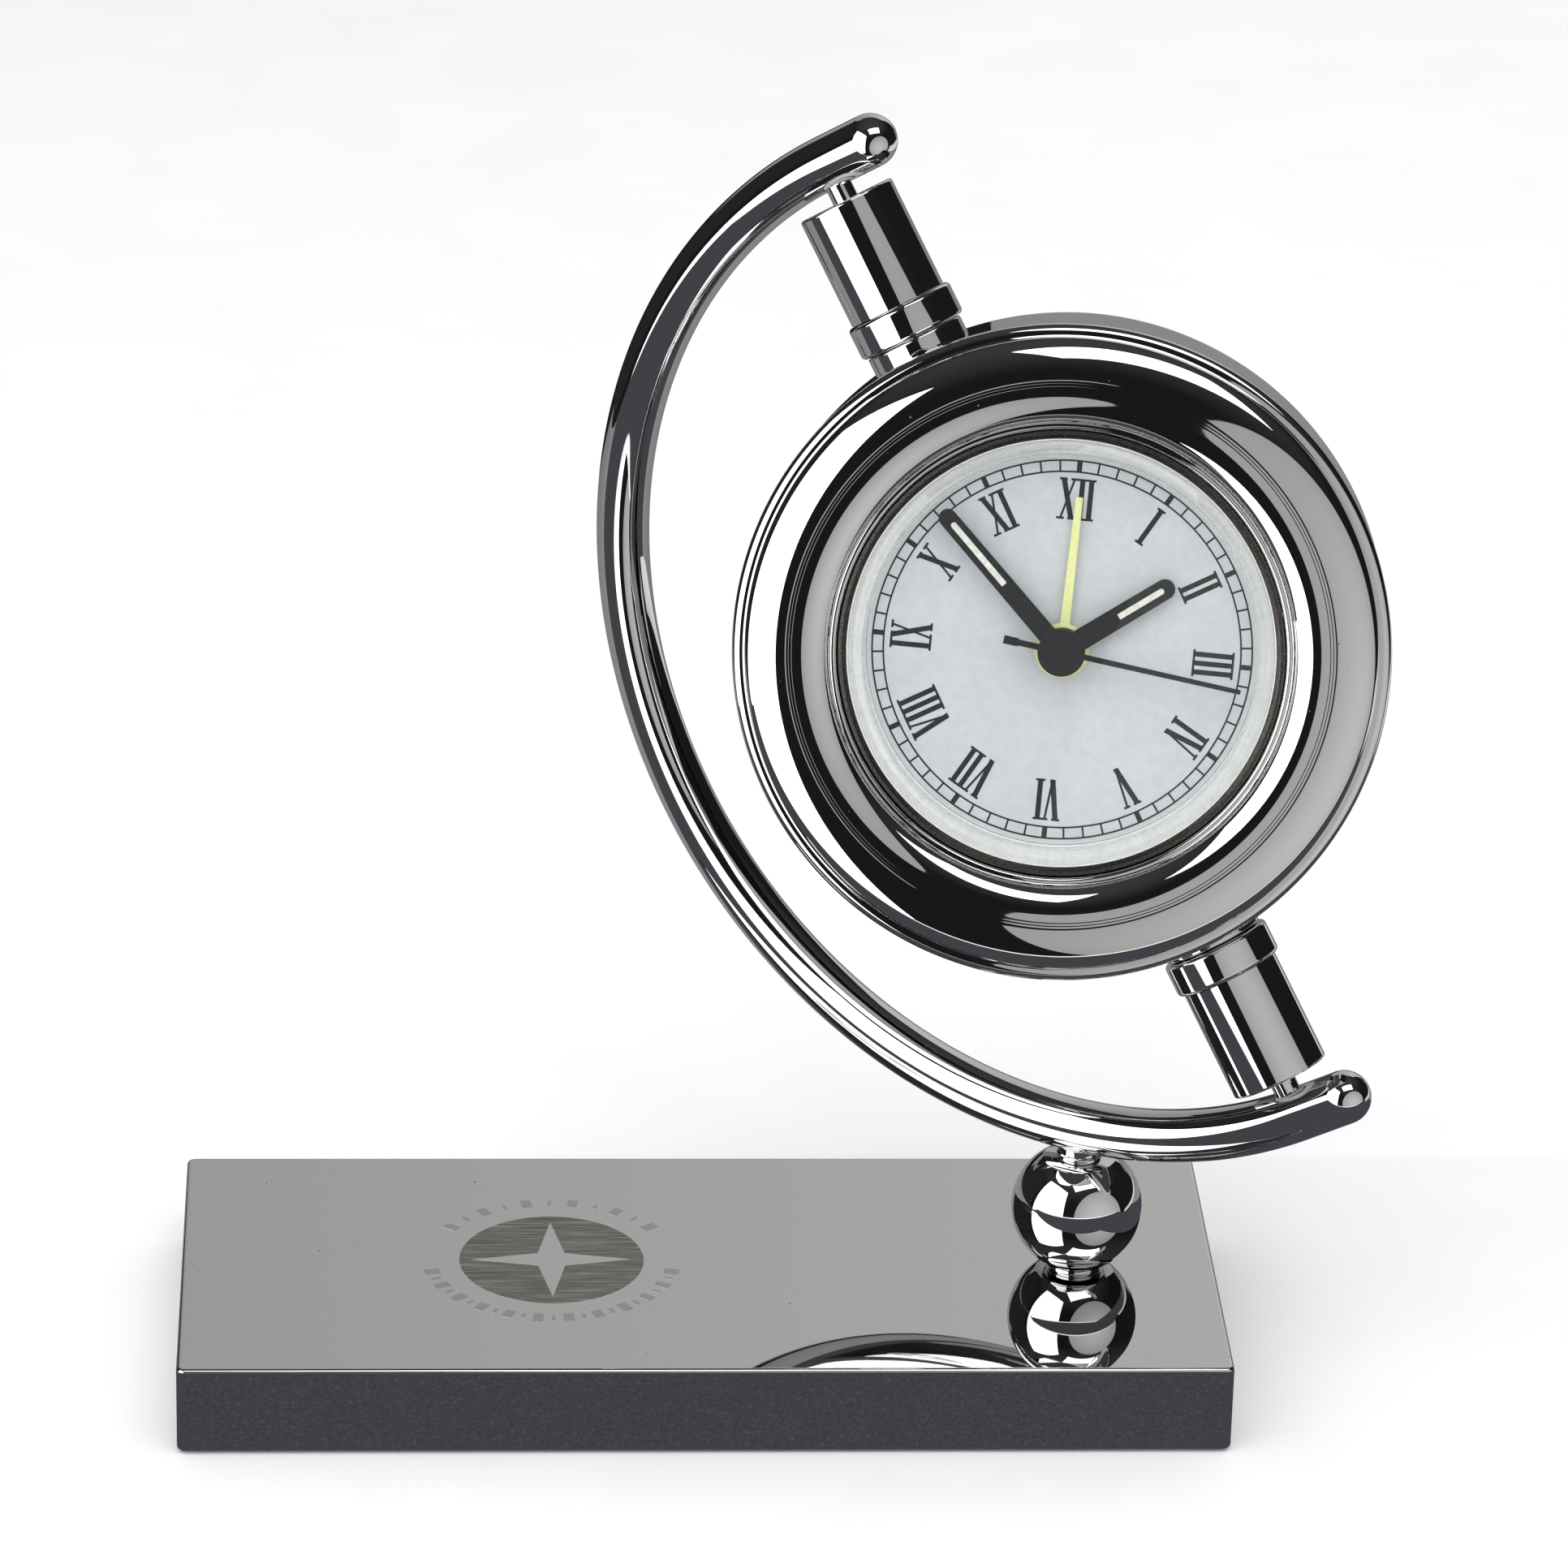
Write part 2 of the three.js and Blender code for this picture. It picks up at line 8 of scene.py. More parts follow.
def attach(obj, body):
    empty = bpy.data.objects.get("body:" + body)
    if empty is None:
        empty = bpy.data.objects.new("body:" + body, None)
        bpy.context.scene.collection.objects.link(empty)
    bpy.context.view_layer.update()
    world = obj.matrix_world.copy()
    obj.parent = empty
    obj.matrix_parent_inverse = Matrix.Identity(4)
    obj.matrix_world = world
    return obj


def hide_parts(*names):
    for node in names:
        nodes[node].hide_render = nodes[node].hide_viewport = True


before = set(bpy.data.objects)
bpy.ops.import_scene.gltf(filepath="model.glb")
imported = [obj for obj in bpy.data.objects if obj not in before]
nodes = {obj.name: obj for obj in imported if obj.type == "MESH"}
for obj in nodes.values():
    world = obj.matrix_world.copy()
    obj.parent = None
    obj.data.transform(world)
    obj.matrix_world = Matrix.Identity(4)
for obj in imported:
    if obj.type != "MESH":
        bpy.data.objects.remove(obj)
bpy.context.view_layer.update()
mm = 0.001

# Where things are, in millimetres and degrees, as the frame has them
placing = {
    "ball": (47.4, 0.0, 19.5),
    "armTurn": 35.6,
    "armLean": 33.7,
    "armShift": -5.28,
    "armCentreHeight": 95.65,
    "headTurn": 33.8,
    "dialTurn": -31.8,
    "insertForward": 8.0,
}


def turnMatrix(degrees, axis):
    return Matrix.Rotation(math.radians(degrees), 4, axis)


armTurn = math.radians(placing["armTurn"])
armPlane = Matrix.Translation((
    placing["ball"][0] + placing["armShift"] * math.cos(armTurn),
    -placing["armShift"] * math.sin(armTurn),
    placing["armCentreHeight"],
)) @ turnMatrix(-placing["armTurn"], "Z")
armFrame = armPlane @ turnMatrix(-placing["armLean"], "Y")
headFrame = armFrame @ turnMatrix(placing["headTurn"], "Z") @ turnMatrix(90, "X")  # Z out of the dial
dialFrame = (headFrame @ Matrix.Translation((0, 0, placing["insertForward"]))
             @ turnMatrix(placing["dialTurn"], "Z"))  # Y towards the XII
ballFrame = Matrix.Translation(placing["ball"])
worldFrame = Matrix.Identity(4)


# Camera, in millimetres and degrees
cameraSet = {
    "place": (-38.81, -855.01, 465.79),
    "yaw": 3.21,
    "down": 24.38,
    "roll": 1.47,
    "lens": 176.26,
}


def makeCamera():
    yaw, down = math.radians(cameraSet["yaw"]), math.radians(cameraSet["down"])
    forward = Vector((math.sin(yaw) * math.cos(down), math.cos(yaw) * math.cos(down), -math.sin(down)))
    level = Vector((math.cos(yaw), -math.sin(yaw), 0))
    turned = Matrix((level, level.cross(forward), -forward)).transposed().to_4x4()
    camera = bpy.data.objects.new("camera", bpy.data.cameras.new("camera"))
    camera.data.lens = cameraSet["lens"]
    camera.data.sensor_width = 36
    camera.data.clip_start, camera.data.clip_end = 0.01, 50
    camera.matrix_world = (
        Matrix.Translation(Vector(cameraSet["place"]) * mm)
        @ turned @ turnMatrix(cameraSet["roll"], "Z")
    )
    bpy.context.scene.collection.objects.link(camera)
    bpy.context.scene.camera = camera
    print("camera is in place")


makeCamera()


def linear(hexColour):  # sRGB hex to linear
    parts = [int(hexColour[i:i + 2], 16) / 255 for i in (1, 3, 5)]
    return tuple(c / 12.92 if c <= 0.04045 else ((c + 0.055) / 1.055) ** 2.4 for c in parts) + (1.0,)


def addNode(tree, kind, settings=None, links=None):
    node = tree.nodes.new("ShaderNode" + kind)
    for key, value in (settings or {}).items():
        if isinstance(key, str) and hasattr(node, key) and key not in node.inputs:
            setattr(node, key, value)
        else:
            node.inputs[key].default_value = value
    for key, source in (links or {}).items():
        tree.links.new(source, node.inputs[key])
    return node


def startMaterial(name):
    material = bpy.data.materials.new(name)
    material.use_nodes = True
    tree = material.node_tree
    tree.nodes.clear()
    place = addNode(tree, "TexCoord").outputs["Object"]
    return material, tree, place


def endMaterial(tree, surface):
    addNode(tree, "OutputMaterial", {}, {"Surface": surface})


def rampNode(tree, source, stops):
    node = addNode(tree, "ValToRGB", {}, {"Fac": source})
    ramp = node.color_ramp
    while len(ramp.elements) < len(stops):
        ramp.elements.new(0.5)
    for element, (position, colour) in zip(ramp.elements, stops):
        element.position = position
        element.color = linear(colour) if isinstance(colour, str) else (colour, colour, colour, 1)
    return node


# Polished chrome plate over brass: buffed to a mirror, so it shows the room and little of itself.
# Pinholes in the plate are about 0.15 mm and stand a few millimetres apart, wiping marks are hairlines.
def chromePlate(name, colour="#e1e1e1", roughness=0.018, pitShare=0.052, haze=0.02):
    material, tree, place = startMaterial(name)
    pits = addNode(tree, "TexVoronoi", {"Scale": 1 / 0.0021, "Randomness": 1.0}, {"Vector": place})
    pitSize = addNode(tree, "TexNoise", {"Scale": 1 / 0.006, "Detail": 2.0}, {"Vector": place})
    pitEdge = addNode(tree, "Math", {"operation": "MULTIPLY_ADD", 1: pitShare * 3.4, 2: -pitShare * 1.25},
                      {0: pitSize.outputs["Fac"]})
    pit = addNode(tree, "Math", {"operation": "LESS_THAN"},
                  {0: pits.outputs["Distance"], 1: pitEdge.outputs[0]})
    mix = addNode(tree, "Mix", {"data_type": "RGBA", "A": linear(colour), "B": linear("#77726c")})
    tree.links.new(pit.outputs[0], mix.inputs[0])
    cloud = addNode(tree, "TexNoise", {"Scale": 1 / 0.018, "Detail": 3.0}, {"Vector": place})
    gloss = addNode(tree, "Math", {"operation": "MULTIPLY_ADD", 1: haze, 2: roughness - haze / 2},
                    {0: cloud.outputs["Fac"]})
    dull = addNode(tree, "Math", {"operation": "MULTIPLY_ADD", 1: 0.3},
                   {0: pit.outputs[0], 2: gloss.outputs[0]})
    bump = addNode(tree, "Bump", {"Strength": 0.5, "Distance": 0.00002, "invert": True},
                   {"Height": pit.outputs[0]})
    shader = addNode(tree, "BsdfPrincipled", {"Metallic": 1.0},
                     {"Base Color": mix.outputs[2], "Roughness": dull.outputs[0], "Normal": bump.outputs[0]})
    endMaterial(tree, shader.outputs[0])
    return material


# Chrome cut through with a diamond drag: close parallel strokes about 0.25 mm apart, drawn wider than
# life so that they show. It scatters light and looks a darker, silky grey beside the mirror.
def draggedChrome(name):
    material, tree, place = startMaterial(name)
    squeeze = addNode(tree, "Mapping", {"Scale": (90.0, 2600.0, 1.0)}, {"Vector": place})
    strokes = addNode(tree, "TexNoise", {"Scale": 1.0, "Detail": 3.0, "Roughness": 0.7},
                      {"Vector": squeeze.outputs[0]})
    tone = rampNode(tree, strokes.outputs["Fac"], [(0.3, "#77746f"), (0.52, "#9b9893"), (0.72, "#d2cfca")])
    rough = addNode(tree, "Math", {"operation": "MULTIPLY_ADD", 1: -0.25, 2: 0.48},
                    {0: strokes.outputs["Fac"]})
    bump = addNode(tree, "Bump", {"Strength": 0.7, "Distance": 0.00003}, {"Height": strokes.outputs["Fac"]})
    shader = addNode(tree, "BsdfPrincipled", {"Metallic": 1.0},
                     {"Base Color": tone.outputs[0], "Roughness": rough.outputs[0],
                      "Normal": bump.outputs[0]})
    endMaterial(tree, shader.outputs[0])
    return material


# Plain moulded, painted, turned and printed finishes share one build: two close tones, a grain of a
# stated size that sets tone and roughness, and a bump of the same grain.
def grainedFinish(name, tones, grain, roughness, metallic=0.0, bumpDepth=0.00002, spread=0.12, stretch=None,
                  coat=0.0, detail=3.0, shine=0.5):
    material, tree, place = startMaterial(name)
    if stretch:
        place = addNode(tree, "Mapping", {"Scale": stretch}, {"Vector": place}).outputs[0]
    noise = addNode(tree, "TexNoise", {"Scale": 1 / grain, "Detail": detail, "Roughness": 0.6},
                    {"Vector": place})
    tone = rampNode(tree, noise.outputs["Fac"], [(0.35, tones[0]), (0.65, tones[1])])
    rough = addNode(tree, "Math", {"operation": "MULTIPLY_ADD", 1: spread, 2: roughness - spread / 2},
                    {0: noise.outputs["Fac"]})
    bump = addNode(tree, "Bump", {"Strength": 0.35, "Distance": bumpDepth}, {"Height": noise.outputs["Fac"]})
    shader = addNode(tree, "BsdfPrincipled", {"Metallic": metallic, "Coat Weight": coat,
                                              "Specular IOR Level": shine},
                     {"Base Color": tone.outputs[0], "Roughness": rough.outputs[0],
                      "Normal": bump.outputs[0]})
    endMaterial(tree, shader.outputs[0])
    return material


# Clear cast acrylic, turned and polished: bends light as acrylic does, with a few wiping hairlines.
# Shadow and diffuse rays go straight through, so the dial below is lit as under a thin window.
def clearAcrylic(name):
    material, tree, place = startMaterial(name)
    cloud = addNode(tree, "TexNoise", {"Scale": 1 / 0.004, "Detail": 4.0}, {"Vector": place})
    tint = rampNode(tree, cloud.outputs["Fac"], [(0.3, "#f6f9fb"), (0.7, "#fcfdff")])
    glass = addNode(tree, "BsdfPrincipled", {"Roughness": 0.0, "IOR": 1.49, "Transmission Weight": 1.0},
                    {"Base Color": tint.outputs[0]})
    clear = addNode(tree, "BsdfTransparent", {"Color": (0.97, 0.98, 0.985, 1)})
    path = addNode(tree, "LightPath")
    either = addNode(tree, "Math", {"operation": "MAXIMUM"},
                     {0: path.outputs["Is Shadow Ray"], 1: path.outputs["Is Diffuse Ray"]})
    mix = addNode(tree, "MixShader", {}, {0: either.outputs[0], 1: glass.outputs[0], 2: clear.outputs[0]})
    endMaterial(tree, mix.outputs[0])
    return material


finishes = {
    "chromePlate": chromePlate("polishedChromePlate"),
    "baseChrome": chromePlate("polishedChromeBase", pitShare=0.06, haze=0.012),
    "draggedChrome": draggedChrome("diamondDraggedChrome"),
    "etchedChrome": chromePlate("etchedChromeLines", "#c4c3c2", 0.14, 0.05, 0.05),
    "clearAcrylic": clearAcrylic("clearCastAcrylic"),
    # felt: pressed black wool, matt with short fibres about 0.4 mm long
    "felt": grainedFinish("blackWoolFelt", ("#0c0c0d", "#232326"), 0.0004, 0.95, 0.0, 0.0002),
    # screw steel: bright zinc over cold-formed steel
    "zincSteel": grainedFinish("zincPlatedSteel", ("#a9abae", "#c6c8ca"), 0.0006, 0.28, 1.0),
    # nylon: moulded in white, slightly waxy
    "whiteNylon": grainedFinish("mouldedWhiteNylon", ("#dfded8", "#ecebe6"), 0.0007, 0.42),
    # ABS: black, from a spark-eroded mould with a grain of about 0.25 mm
    "blackAbs": grainedFinish("mouldedBlackAbs", ("#0d0d0e", "#19191b"), 0.00025, 0.42, 0.0, 0.00003),
    # ring round the window: cast metal, brushed when the window was pressed in, grit about 0.2 mm
    "scuffedRing": grainedFinish("scuffedPewterRing", ("#3b3937", "#6e6b67"), 0.0002, 0.36, 1.0, 0.00003,
                                 0.2, detail=6.0),
    # dial: aluminium sheet, sprayed satin white with a fine metallic lift
    "dialWhite": grainedFinish("satinWhiteDialLacquer", ("#c3c4c5", "#cacbcb"), 0.0011, 0.36, 0.0,
                               0.000004, 0.06),
    # dial ink: screen printed, opaque and nearly matt
    "dialInk": grainedFinish("screenPrintedBlackInk", ("#070708", "#0f0f10"), 0.0003, 0.6, shine=0.1),
    # hands: stamped aluminium, satin black lacquer
    "blackLacquer": grainedFinish("satinBlackLacquer", ("#050505", "#0c0c0d"), 0.00035, 0.5, 0.0, 0.00001,
                                  shine=0.06),
    # luminous paint: thick, pale and chalky, filled into the slots by hand
    "luminousPaint": grainedFinish("paleLuminousPaint", ("#c9cab8", "#e6e6da"), 0.0005, 0.7, 0.0, 0.00004),
    # alarm hand: the same stamping in a pale yellow-green lacquer
    "limeLacquer": grainedFinish("paleYellowGreenLacquer", ("#dde08e", "#e9eca2"), 0.0006, 0.45, 0.0,
                                 0.00001),
    # wheels, plate and contacts: brass, turned and left bare
    "brass": grainedFinish("turnedBrass", ("#b08d4c", "#d2b06c"), 0.0005, 0.3, 1.0),
    # coil: enamelled copper wire about 0.2 mm thick, wound along one way
    "copperWire": grainedFinish("enamelledCopperWire", ("#7e3b1c", "#b3602f"), 0.00022, 0.35, 1.0, 0.00004,
                                0.1, (0.08, 1, 0.08)),
    # circuit board: green solder mask, a thin glossy film over glass cloth
    "solderMask": grainedFinish("greenSolderMask", ("#174a2b", "#236b3c"), 0.0012, 0.4, 0.0, 0.00002, 0.1,
                                coat=0.4),
    # button cell: nickel plate over steel, drawn and wiped
    "cellSteel": grainedFinish("nickelledCellSteel", ("#b9b6ad", "#d6d3cb"), 0.0009, 0.22, 1.0),
}
print("materials are made")

nodeFinish = {
    "felt": ["base_pad"],
    "zincSteel": ["clamp_screw", "spring_washer", "upper_post_screw", "lower_post_screw", "stator", "crystal",
                  "rotor"],
    "whiteNylon": ["upper_bush", "lower_bush", "intermediate_wheel", "alarm_switch"],
    "blackAbs": ["movement_case", "time_set_knob", "alarm_set_knob", "battery_door", "buzzer", "timing_chip"],
    "brass": ["train_plate", "alarm_wheel", "hour_wheel", "minute_wheel", "seconds_wheel", "third_wheel",
              "motion_wheel", "alarm_pinion", "top_contact", "side_contact"],
    "copperWire": ["coil"],
    "solderMask": ["circuit_board"],
    "cellSteel": ["battery"],
}
for finish, names in nodeFinish.items():
    for name in names:
        nodes[name].data.materials.clear()
        nodes[name].data.materials.append(finishes[finish])


# Closes a bmesh in millimetres, places it, and hands it to the frame
def finishPiece(bm, name, place, body, finish, replaced=(), sharp=30, weighted=True):
    bmesh.ops.remove_doubles(bm, verts=bm.verts, dist=0.0005)
    bmesh.ops.recalc_face_normals(bm, faces=bm.faces)
    bm.transform(place)
    bm.transform(Matrix.Scale(mm, 4))
    mesh = bpy.data.meshes.new(name)
    bm.to_mesh(mesh)
    bm.free()
    mesh.shade_smooth()
    mesh.set_sharp_from_angle(angle=math.radians(sharp))
    piece = bpy.data.objects.new(name, mesh)
    bpy.context.scene.collection.objects.link(piece)
    mesh.materials.append(finishes[finish])
    if weighted:  # flat faces keep their own normals, so that a mirror finish stays flat next to a rounding
        modifier = piece.modifiers.new("flatNormals", "WEIGHTED_NORMAL")
        modifier.weight = 90
        modifier.keep_sharp = True
    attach(piece, body)
    if replaced:
        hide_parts(*replaced)


# A profile of (radius, height) or (radius, height, rounding) corners, turned about Z
def turnedShape(profile, steps=160, closed=True):
    bm = bmesh.new()
    corners = [bm.verts.new((row[0], 0, row[1])) for row in profile]
    for a, b in zip(corners, corners[1:]):
        bm.edges.new((a, b))
    if closed:
        bm.edges.new((corners[-1], corners[0]))
    for corner, row in zip(corners, profile):
        if len(row) > 2:
            bmesh.ops.bevel(bm, geom=[corner], offset=row[2], offset_type="OFFSET", segments=6, profile=0.5,
                            affect="VERTICES", material=-1)
    bmesh.ops.spin(bm, geom=bm.verts[:] + bm.edges[:], cent=(0, 0, 0), axis=(0, 0, 1), angle=2 * math.pi,
                   steps=steps, use_merge=True, use_duplicate=False)
    return bm


def arcPoints(centre, radii, start, end, count):
    points = []
    for i in range(count + 1):
        angle = math.radians(start + (end - start) * i / count)
        points.append((centre[0] + radii[0] * math.cos(angle), centre[1] + radii[1] * math.sin(angle)))
    return points


# Base block: crisp corners with a small rounding, and a recess below for the felt pad
baseSize = {"width": 130, "depth": 57, "top": 11.7, "underside": 0.3, "corner": 1.0, "edge": 0.55,
            "padInset": 1.3, "recessTo": 1.45}


def makeBase():
    s = baseSize
    bm = bmesh.new()
    height = s["top"] - s["underside"]
    bmesh.ops.create_cube(bm, size=1, matrix=Matrix.Translation((0, 0, s["underside"] + height / 2))
                          @ Matrix.Diagonal((s["width"], s["depth"], height, 1)))
    upright = [e for e in bm.edges if abs(e.verts[0].co.z - e.verts[1].co.z) > 1]
    bmesh.ops.bevel(bm, geom=upright, offset=s["corner"], offset_type="OFFSET", segments=8, profile=0.5,
                    affect="EDGES", material=-1)
    for level in (s["top"], s["underside"]):
        rim = [e for e in bm.edges if all(abs(v.co.z - level) < 1e-4 for v in e.verts)]
        bmesh.ops.bevel(bm, geom=rim, offset=s["edge"], offset_type="OFFSET", segments=6, profile=0.5,
                        affect="EDGES", material=-1)
    bottom = [f for f in bm.faces if f.normal.z < -0.99]
    bmesh.ops.inset_region(bm, faces=bottom, thickness=s["padInset"] - s["edge"] + 0.2, use_even_offset=True)
    bottom = [f for f in bm.faces if f.normal.z < -0.99 and f.calc_area() > 1000]
    made = bmesh.ops.extrude_discrete_faces(bm, faces=bottom)
    bmesh.ops.translate(bm, verts=list({v for f in made["faces"] for v in f.verts}),
                        vec=(0, 0, s["recessTo"] - s["underside"]))
    finishPiece(bm, "mirrorBase", worldFrame, "base", "baseChrome", ["base_block"])
    print("base is made")


makeBase()

engraving = {"centre": (-18.6, 0.4), "disc": 11.6, "tickInner": 14.4, "tickOuter": 16.3, "proud": 0.012,
             "star": 0.86, "starWaist": 0.24, "tickArcs": ((35, 145, 11), (192, 348, 23)),
             "wideTick": 1.3, "narrowTick": 0.45, "shortTick": 0.6}


# A plain round engraved motif: a dragged disc with a polished four-pointed star, and two arcs of ticks
def makeEngraving():
    s = engraving
    place = Matrix.Translation((*s["centre"], baseSize["top"]))
    bm = bmesh.new()
    bmesh.ops.create_circle(bm, cap_ends=True, radius=s["disc"], segments=96)
    made = bmesh.ops.extrude_face_region(bm, geom=bm.faces[:])
    bmesh.ops.translate(bm, verts=[g for g in made["geom"] if isinstance(g, bmesh.types.BMVert)],
                        vec=(0, 0, s["proud"]))
    finishPiece(bm, "engravedDisc", place, "base", "draggedChrome", weighted=False)

    bm = bmesh.new()
    bmesh.ops.create_circle(bm, cap_ends=True, radius=s["disc"] * s["star"], segments=8,
                            matrix=Matrix.Translation((0, 0, s["proud"])))
    for vert in bm.verts:
        angle = math.degrees(math.atan2(vert.co.y, vert.co.x)) % 90
        if 30 < angle < 60:
            vert.co.xy = vert.co.xy * s["starWaist"]
    made = bmesh.ops.extrude_face_region(bm, geom=bm.faces[:])
    bmesh.ops.translate(bm, verts=[g for g in made["geom"] if isinstance(g, bmesh.types.BMVert)],
                        vec=(0, 0, s["proud"]))
    finishPiece(bm, "engravedStar", place, "base", "baseChrome", weighted=False)

    bm = bmesh.new()
    middle = (s["tickInner"] + s["tickOuter"]) / 2
    length = s["tickOuter"] - s["tickInner"]
    for start, end, count in s["tickArcs"]:
        for i in range(count):
            angle = start + (end - start) * i / (count - 1)
            if i % 2 == 0:
                size = (length, s["wideTick"], s["proud"], 1)
            else:
                size = (length * s["shortTick"], s["narrowTick"], s["proud"], 1)
            bmesh.ops.create_cube(bm, size=1, matrix=turnMatrix(angle, "Z") @ Matrix.Translation(
                (middle, 0, s["proud"] / 2)) @ Matrix.Diagonal(size))
    finishPiece(bm, "engravedTicks", place, "base", "etchedChrome", weighted=False)
    print("engraving is made")


makeEngraving()


# Ball with the neck under it, heights from its own centre, and the boss that carries the arm
ballSize = {"radius": 8.27, "neck": 3.25, "neckTo": -7.05, "ballFrom": -6.72, "seat": -7.8, "flat": 7.0,
            "boss": [(1.85, 7.1), (2.85, 7.1, 0.25), (2.85, 7.75, 0.25), (2.45, 7.85), (2.45, 8.7),
                     (1.85, 8.7)]}


def makeBall():
    s = ballSize
    low = math.degrees(math.asin(s["ballFrom"] / s["radius"]))
    high = math.degrees(math.asin(s["flat"] / s["radius"]))
    sphere = arcPoints((0, 0), (s["radius"], s["radius"]), low, high, 64)
    profile = [(0, s["seat"]), (s["neck"] + 0.25, s["seat"]), (s["neck"] + 0.25, s["seat"] + 0.18),
               (s["neck"], s["seat"] + 0.3), (s["neck"], s["neckTo"] + 0.1), (s["neck"] + 0.35, s["neckTo"])]
    profile += sphere + [(0, s["flat"])]
    bm = turnedShape(profile, 144, closed=False)
    finishPiece(bm, "turnedBall", ballFrame, "base", "chromePlate", ["ball"], sharp=40)
    finishPiece(turnedShape(s["boss"], 96), "armBoss", ballFrame, "arm", "chromePlate",
                ["arm_collar"])
    print("ball and boss are made")


makeBall()


# Half a ring of round rod, run on straight at both ends and closed with domes
armSize = {"radius": 65.02, "rod": 3.34, "overrun": 7.35, "around": 64, "along": 220, "dome": 14,
           "pin": 1.62, "pinFrom": 55.6, "pinTo": 66.4}


def makeArm():
    s = armSize
    bm = bmesh.new()
    bmesh.ops.create_circle(bm, cap_ends=False, radius=s["rod"], segments=s["around"],
                            matrix=Matrix.Translation((0, 0, s["radius"])) @ turnMatrix(90, "Y"))
    startRing = bm.edges[:]
    made = bmesh.ops.spin(bm, geom=bm.verts[:] + bm.edges[:], cent=(0, 0, 0), axis=(0, -1, 0), angle=math.pi,
                          steps=s["along"], use_duplicate=False)
    endRing = [g for g in made["geom_last"] if isinstance(g, bmesh.types.BMEdge)]
    for edges, level in ((startRing, s["radius"]), (endRing, -s["radius"])):
        steps = [(s["overrun"], 1.0)]
        for i in range(1, s["dome"] + 1):
            angle = math.radians(90 * i / s["dome"])
            steps.append((s["overrun"] + s["rod"] * math.sin(angle), math.cos(angle)))
        reach, size = 0.0, 1.0
        for toReach, toSize in steps:
            made = bmesh.ops.extrude_edge_only(bm, edges=edges)
            verts = [g for g in made["geom"] if isinstance(g, bmesh.types.BMVert)]
            edges = [g for g in made["geom"] if isinstance(g, bmesh.types.BMEdge) and all(
                v in verts for v in g.verts)]
            bmesh.ops.translate(bm, verts=verts, vec=(toReach - reach, 0, 0))
            factor = max(toSize, 0.00001) / size
            bmesh.ops.scale(bm, verts=verts, vec=(1, factor, factor),
                            space=Matrix.Translation((0, 0, -level)))
            reach, size = toReach, toSize
    finishPiece(bm, "bentArm", armFrame, "arm", "chromePlate", ["c_arm"], sharp=50)

    for side, name in ((1, "upper"), (-1, "lower")):
        profile = [(0, s["pinFrom"]), (s["pin"], s["pinFrom"], 0.15), (s["pin"], s["pinTo"]),
                   (0, s["pinTo"])]
        place = armFrame if side > 0 else armFrame @ turnMatrix(180, "X")
        finishPiece(turnedShape(profile, 64, closed=False), name + "PivotPin", place, "arm", "chromePlate",
                    [name + "_pivot_pin"])
    print("arm and pins are made")


makeArm()


# Head, heights from its own centre towards the dial: drum, bezel and rear cover
drumSize = {"radius": 39.48, "inside": 36.7, "back": -11, "front": 16}
bezelSize = {"rim": 39.58, "step": 38.2, "crown": 32.4, "mouth": 26.95, "mouthTop": 18.6, "underside": 15.2,
             "spigot": 13.4, "spigotIn": 35, "spigotOut": 36.4, "seat": 16.1, "edge": 18, "top": 20.7,
             "rings": 3, "ringPitch": 0.36, "ringDepth": 0.02}
coverSize = {"opening": 25.6, "thick": 1.9, "lipIn": 34.8, "lipOut": 36.4, "lip": 2, "gap": 0.1}


def makeHeadShell():
    s = drumSize
    profile = [(s["inside"], s["back"]), (s["radius"], s["back"], 0.15), (s["radius"], s["front"], 0.15),
               (s["inside"], s["front"])]
    finishPiece(turnedShape(profile, 240), "drumShell", headFrame, "head", "chromePlate",
                ["case_drum"])

    b = bezelSize
    profile = [(b["mouth"], b["underside"]), (b["spigotIn"], b["underside"]), (b["spigotIn"], b["spigot"]),
               (b["spigotOut"], b["spigot"]), (b["spigotOut"], b["seat"]), (b["rim"], b["seat"], 0.15)]
    profile += arcPoints((b["rim"] - 1.1, b["edge"] - 1.1), (1.1, 1.1), 0, 90, 12)
    profile += [(b["step"] + 0.02, b["edge"]), (b["step"] - 0.13, b["edge"] + 0.35)]
    start = b["edge"] + 0.35
    profile += arcPoints((b["crown"], start), (b["step"] - 0.15 - b["crown"], b["top"] - start), 2, 84, 34)
    ringStart = b["crown"] + 0.55
    for i in range(b["rings"]):  # shallow turned rings on the crown
        at = ringStart - i * b["ringPitch"]
        profile += [(at, b["top"] - 0.02), (at - 0.12, b["top"] - 0.02 - b["ringDepth"]),
                    (at - 0.24, b["top"] - 0.02)]
    inner = b["crown"] - 1.1
    profile += arcPoints((inner, b["mouthTop"] - 0.6),
                         (inner - b["mouth"] - 0.62, b["top"] - b["mouthTop"] + 0.58), 90, 168, 26)
    profile += arcPoints((b["mouth"] + 0.42, b["mouthTop"] - 0.5), (0.42, 0.5), 80, 180, 8)
    finishPiece(turnedShape(profile, 256), "cushionBezel", headFrame, "head", "chromePlate",
                ["front_bezel"], sharp=32)

    c = coverSize
    back, front, lip = s["back"] - c["thick"], s["back"] - c["gap"], s["back"] + c["lip"]
    profile = [(c["opening"], front), (c["opening"], back, 0.35), (s["radius"], back, 1.15),
               (s["radius"], front), (c["lipOut"], front), (c["lipOut"], lip), (c["lipIn"], lip),
               (c["lipIn"], front)]
    finishPiece(turnedShape(profile, 240), "rearCover", headFrame, "head", "chromePlate",
                ["rear_cover"])
    print("drum, bezel and cover are made")


makeHeadShell()

